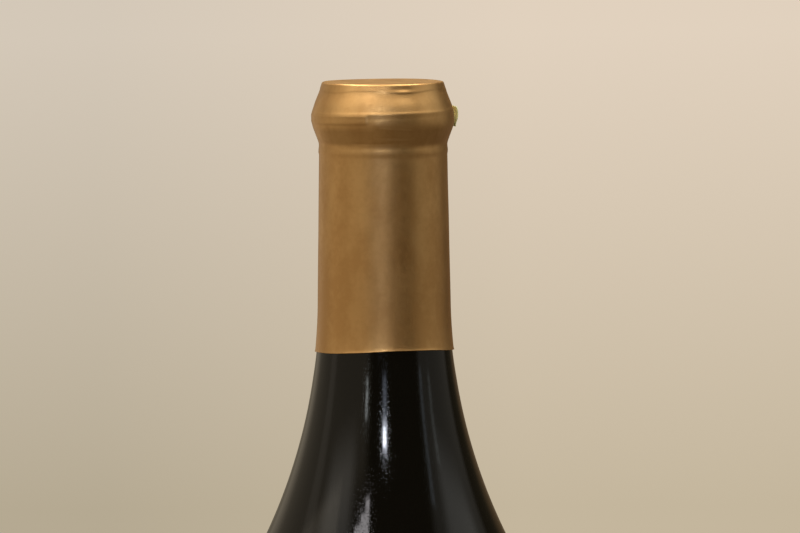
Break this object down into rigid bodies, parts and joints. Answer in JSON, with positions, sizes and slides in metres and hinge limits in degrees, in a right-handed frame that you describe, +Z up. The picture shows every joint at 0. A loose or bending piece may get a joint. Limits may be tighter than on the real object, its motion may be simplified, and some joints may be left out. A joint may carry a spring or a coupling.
{
  "type": "wine bottle",
  "caption": "Closed wine bottle with sloping shoulders, a long neck and a shrunk-on gold capsule with a small tear tab.",
  "frame": {"origin": "centre of the ring that the bottle rests on, at the height of the surface below it", "axes": "+Z up along the bottle's axis, from the base to the mouth; -Y is the side the picture shows; the tear tab is on the +X side"},
  "size_m": [0.0816, 0.0816, 0.2963],
  "materials": {
    "glass": "glossy, so dark that it looks black and can't be seen through",
    "capsule_film": "satin metallic gold print on shrink film",
    "tear_tape": "thin greenish gold tape"
  },
  "bodies": {
    "root": {"bottle": "glass", "capsule": "capsule_film", "tear_tab": "tear_tape"}
  },
  "joints": []
}
